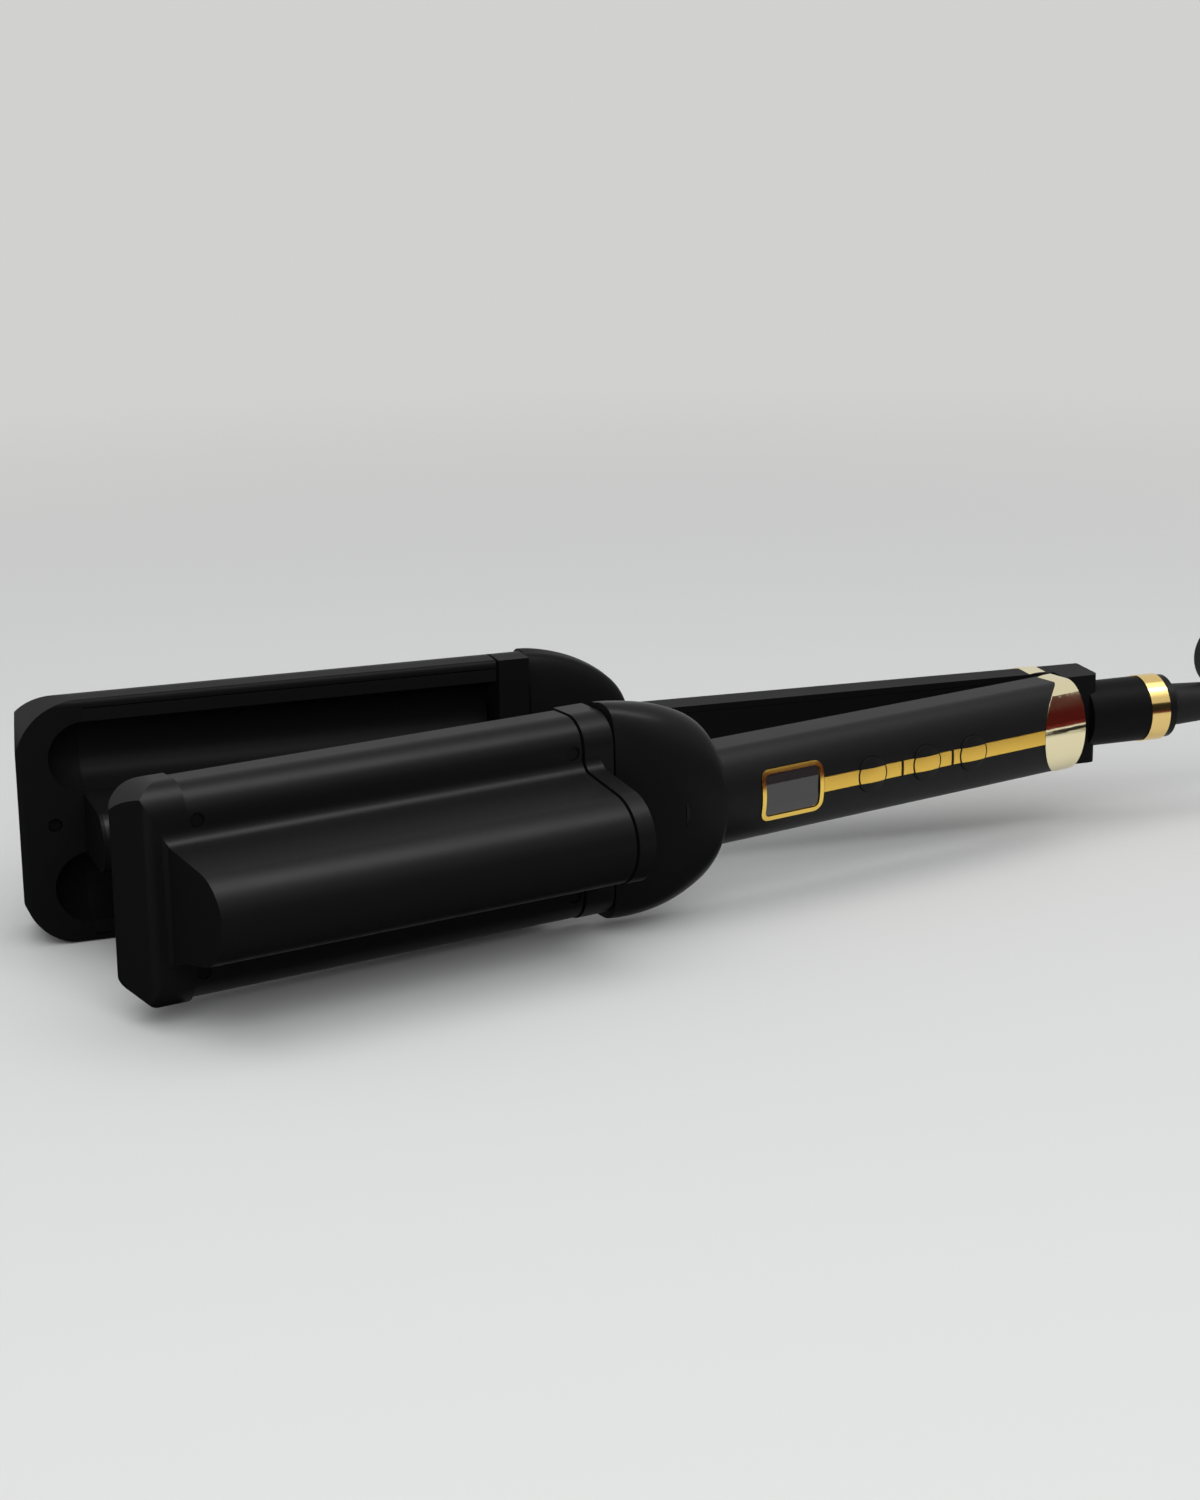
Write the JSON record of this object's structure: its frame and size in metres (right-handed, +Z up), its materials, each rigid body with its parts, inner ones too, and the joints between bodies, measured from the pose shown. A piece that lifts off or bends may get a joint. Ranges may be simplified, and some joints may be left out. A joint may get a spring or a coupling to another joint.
{
  "type": "hair waver",
  "caption": "Tong-type hair waver with three-barrel heating jaws, control buttons and display on one handle, and a cord swivel at the hinge",
  "frame": {"origin": "centre of the footprint of the tool without its cord, on the surface it lies on", "axes": "+Z up, perpendicular to both arms; -X towards the jaw tips along the rear arm; the front arm with the buttons is on the -Y side"},
  "size_m": [0.5856, 0.1336, 0.0716],
  "materials": {
    "satin_black": "satin moulded plastic",
    "handle_black": "soft satin plastic",
    "coated_plate": "smooth dark ceramic coating on aluminium",
    "gold": "polished gold plating",
    "screw_steel": "black oxide",
    "bright_steel": "bright steel",
    "display_glass": "smoked clear window, polished",
    "board": "solder resist",
    "module": "satin",
    "heater": "mill finish",
    "ceramic": "unglazed",
    "cord_rubber": "smooth matt jacket",
    "pin_metal": "plated"
  },
  "bodies": {
    "rear_arm": {"rear_jaw_housing": "satin_black", "rear_wave_plate": "coated_plate", "rear_tip_cap": "satin_black", "rear_collar": "satin_black", "rear_shroud": "satin_black", "rear_handle_shell": "handle_black", "rear_inner_cover": "handle_black", "hinge_fork": "satin_black", "hinge_pin": "bright_steel", "opening_spring": "bright_steel", "rear_heater_bar": "heater", "rear_thermistor": "ceramic", "rear_jaw_screws": "screw_steel", "rear_cap_screw": "screw_steel", "rear_cover_screws": "screw_steel", "rear_tail_band": "gold", "swivel_ring": "gold", "power_cord": "cord_rubber", "cord_coil": "cord_rubber", "plug_body": "cord_rubber", "plug_pins": "pin_metal"},
    "front_arm": {"front_jaw_housing": "satin_black", "front_wave_plate": "coated_plate", "front_tip_cap": "satin_black", "front_collar": "satin_black", "front_shroud": "satin_black", "front_handle_shell": "handle_black", "front_inner_cover": "handle_black", "front_hinge_lug": "satin_black", "front_heater_bars": "heater", "front_thermistor": "ceramic", "thermal_fuse": "ceramic", "front_jaw_screws": "screw_steel", "front_cover_screws": "screw_steel", "display_frame": "gold", "display_window": "display_glass", "display_module": "module", "control_board": "board", "tact_switches": "module", "trim_bars": "gold", "tail_band": "gold"},
    "plus_button": {"button_plus": "handle_black", "inlay_plus": "gold"},
    "power_button": {"button_power": "handle_black", "inlay_power": "gold"},
    "minus_button": {"button_minus": "handle_black", "inlay_minus": "gold"},
    "cord_swivel": {"swivel_stem": "satin_black", "strain_relief": "cord_rubber"}
  },
  "joints": [
    {"name": "arm_hinge", "type": "hinge", "parent": "rear_arm", "child": "front_arm", "pos_m": [0.1156, 0.04047, 0.0358], "axis": [0, 0, 1], "range_deg": [-11.8, 0], "stiffness_Nm_per_rad": 0.6, "springref_deg": 20.05},
    {"name": "plus_press", "type": "slide", "parent": "front_arm", "child": "plus_button", "axis": [-0.251, 0.968, 0], "range_m": [0, 0.0006], "stiffness_N_per_m": 400, "springref_m": -0.0005},
    {"name": "power_press", "type": "slide", "parent": "front_arm", "child": "power_button", "axis": [-0.251, 0.968, 0], "range_m": [0, 0.0006], "stiffness_N_per_m": 400, "springref_m": -0.0005},
    {"name": "minus_press", "type": "slide", "parent": "front_arm", "child": "minus_button", "axis": [-0.251, 0.968, 0], "range_m": [0, 0.0006], "stiffness_N_per_m": 400, "springref_m": -0.0005},
    {"name": "cord_swivel_turn", "type": "hinge", "parent": "rear_arm", "child": "cord_swivel", "pos_m": [0.1456, 0.04047, 0.0358], "axis": [1, 0, 0], "continuous": true}
  ]
}
